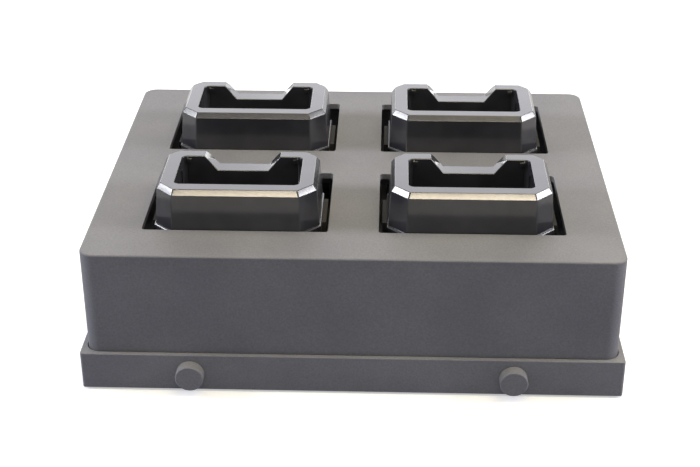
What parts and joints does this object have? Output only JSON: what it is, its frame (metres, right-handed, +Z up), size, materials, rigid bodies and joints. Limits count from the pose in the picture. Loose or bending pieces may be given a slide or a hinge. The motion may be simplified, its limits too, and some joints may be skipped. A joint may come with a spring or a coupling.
{
  "type": "drop-in charging station",
  "caption": "Grey desktop charging station for belt-worn wireless packs: a box cover in a base tray, with black drop-in pockets, sprung contacts and knob latches.",
  "frame": {"origin": "the middle of the footprint on the table: the centre of the underside of the middle rubber foot", "axes": "+Z up, -Y the front with the latch knobs, +X to the user's right"},
  "size_m": [0.2658, 0.2212, 0.0944],
  "materials": {
    "printed_nylon": "grained, laser-sintered nylon, mid grey",
    "glossy_black": "moulded ABS, satin gloss",
    "black_abs": "moulded ABS, satin",
    "black_sheet": "black ABS sheet, matt",
    "rubber": "moulded rubber, matt",
    "plated_steel": "zinc plated",
    "plated_brass": "nickel plated",
    "gold_contact": "gold plated",
    "spring_steel": "drawn spring wire",
    "circuit_board": "glass-epoxy board with green solder mask",
    "contact_block": "glass-filled nylon",
    "lead_jacket": "soft PVC jacket"
  },
  "bodies": {
    "housing": {"base_tray": "printed_nylon", "top_cover": "printed_nylon", "rubber_feet": "rubber", "carrier_pillars": "plated_steel", "carrier_plate": "black_sheet", "charger_shell_front_left": "glossy_black", "charger_base_front_left": "black_abs", "charger_board_front_left": "circuit_board", "contact_block_front_left": "contact_block", "contact_spring_front_left_minus": "spring_steel", "contact_spring_front_left_plus": "spring_steel", "charger_shell_front_right": "glossy_black", "charger_base_front_right": "black_abs", "charger_board_front_right": "circuit_board", "contact_block_front_right": "contact_block", "contact_spring_front_right_minus": "spring_steel", "contact_spring_front_right_plus": "spring_steel", "charger_shell_rear_left": "glossy_black", "charger_base_rear_left": "black_abs", "charger_board_rear_left": "circuit_board", "contact_block_rear_left": "contact_block", "contact_spring_rear_left_minus": "spring_steel", "contact_spring_rear_left_plus": "spring_steel", "charger_shell_rear_right": "glossy_black", "charger_base_rear_right": "black_abs", "charger_board_rear_right": "circuit_board", "contact_block_rear_right": "contact_block", "contact_spring_rear_right_minus": "spring_steel", "contact_spring_rear_right_plus": "spring_steel", "charger_screws": "plated_steel", "power_board": "circuit_board", "power_socket": "black_abs", "socket_nut": "plated_brass", "charger_lead_front_left": "lead_jacket", "charger_lead_front_right": "lead_jacket", "charger_lead_rear_left": "lead_jacket", "charger_lead_rear_right": "lead_jacket", "supply_lead": "lead_jacket", "lead_clips": "black_abs", "board_screws": "plated_steel", "tray_screws": "plated_steel", "carrier_screws": "plated_steel"},
    "contact_front_left_minus": {"contact_pin_front_left_minus": "gold_contact"},
    "contact_front_left_plus": {"contact_pin_front_left_plus": "gold_contact"},
    "contact_front_right_minus": {"contact_pin_front_right_minus": "gold_contact"},
    "contact_front_right_plus": {"contact_pin_front_right_plus": "gold_contact"},
    "contact_rear_left_minus": {"contact_pin_rear_left_minus": "gold_contact"},
    "contact_rear_left_plus": {"contact_pin_rear_left_plus": "gold_contact"},
    "contact_rear_right_minus": {"contact_pin_rear_right_minus": "gold_contact"},
    "contact_rear_right_plus": {"contact_pin_rear_right_plus": "gold_contact"},
    "latch_left": {"latch_knob_left": "printed_nylon", "latch_cam_left": "plated_steel", "cam_screw_left": "plated_steel"},
    "latch_right": {"latch_knob_right": "printed_nylon", "latch_cam_right": "plated_steel", "cam_screw_right": "plated_steel"}
  },
  "joints": [
    {"name": "contact_front_left_minus_press", "type": "slide", "parent": "housing", "child": "contact_front_left_minus", "axis": [0, 0, 1], "range_m": [-0.0015, 0], "stiffness_N_per_m": 300, "springref_m": 0.001, "deforming": ["contact_spring_front_left_minus"]},
    {"name": "contact_front_left_plus_press", "type": "slide", "parent": "housing", "child": "contact_front_left_plus", "axis": [0, 0, 1], "range_m": [-0.0015, 0], "stiffness_N_per_m": 300, "springref_m": 0.001, "deforming": ["contact_spring_front_left_plus"]},
    {"name": "contact_front_right_minus_press", "type": "slide", "parent": "housing", "child": "contact_front_right_minus", "axis": [0, 0, 1], "range_m": [-0.0015, 0], "stiffness_N_per_m": 300, "springref_m": 0.001, "deforming": ["contact_spring_front_right_minus"]},
    {"name": "contact_front_right_plus_press", "type": "slide", "parent": "housing", "child": "contact_front_right_plus", "axis": [0, 0, 1], "range_m": [-0.0015, 0], "stiffness_N_per_m": 300, "springref_m": 0.001, "deforming": ["contact_spring_front_right_plus"]},
    {"name": "contact_rear_left_minus_press", "type": "slide", "parent": "housing", "child": "contact_rear_left_minus", "axis": [0, 0, 1], "range_m": [-0.0015, 0], "stiffness_N_per_m": 300, "springref_m": 0.001, "deforming": ["contact_spring_rear_left_minus"]},
    {"name": "contact_rear_left_plus_press", "type": "slide", "parent": "housing", "child": "contact_rear_left_plus", "axis": [0, 0, 1], "range_m": [-0.0015, 0], "stiffness_N_per_m": 300, "springref_m": 0.001, "deforming": ["contact_spring_rear_left_plus"]},
    {"name": "contact_rear_right_minus_press", "type": "slide", "parent": "housing", "child": "contact_rear_right_minus", "axis": [0, 0, 1], "range_m": [-0.0015, 0], "stiffness_N_per_m": 300, "springref_m": 0.001, "deforming": ["contact_spring_rear_right_minus"]},
    {"name": "contact_rear_right_plus_press", "type": "slide", "parent": "housing", "child": "contact_rear_right_plus", "axis": [0, 0, 1], "range_m": [-0.0015, 0], "stiffness_N_per_m": 300, "springref_m": 0.001, "deforming": ["contact_spring_rear_right_plus"]},
    {"name": "latch_left_turn", "type": "hinge", "parent": "housing", "child": "latch_left", "pos_m": [-0.079, -0.1069, 0.0106], "axis": [0, -1, 0], "range_deg": [0, 90]},
    {"name": "latch_right_turn", "type": "hinge", "parent": "housing", "child": "latch_right", "pos_m": [0.079, -0.1069, 0.0106], "axis": [0, -1, 0], "range_deg": [0, 90]}
  ]
}
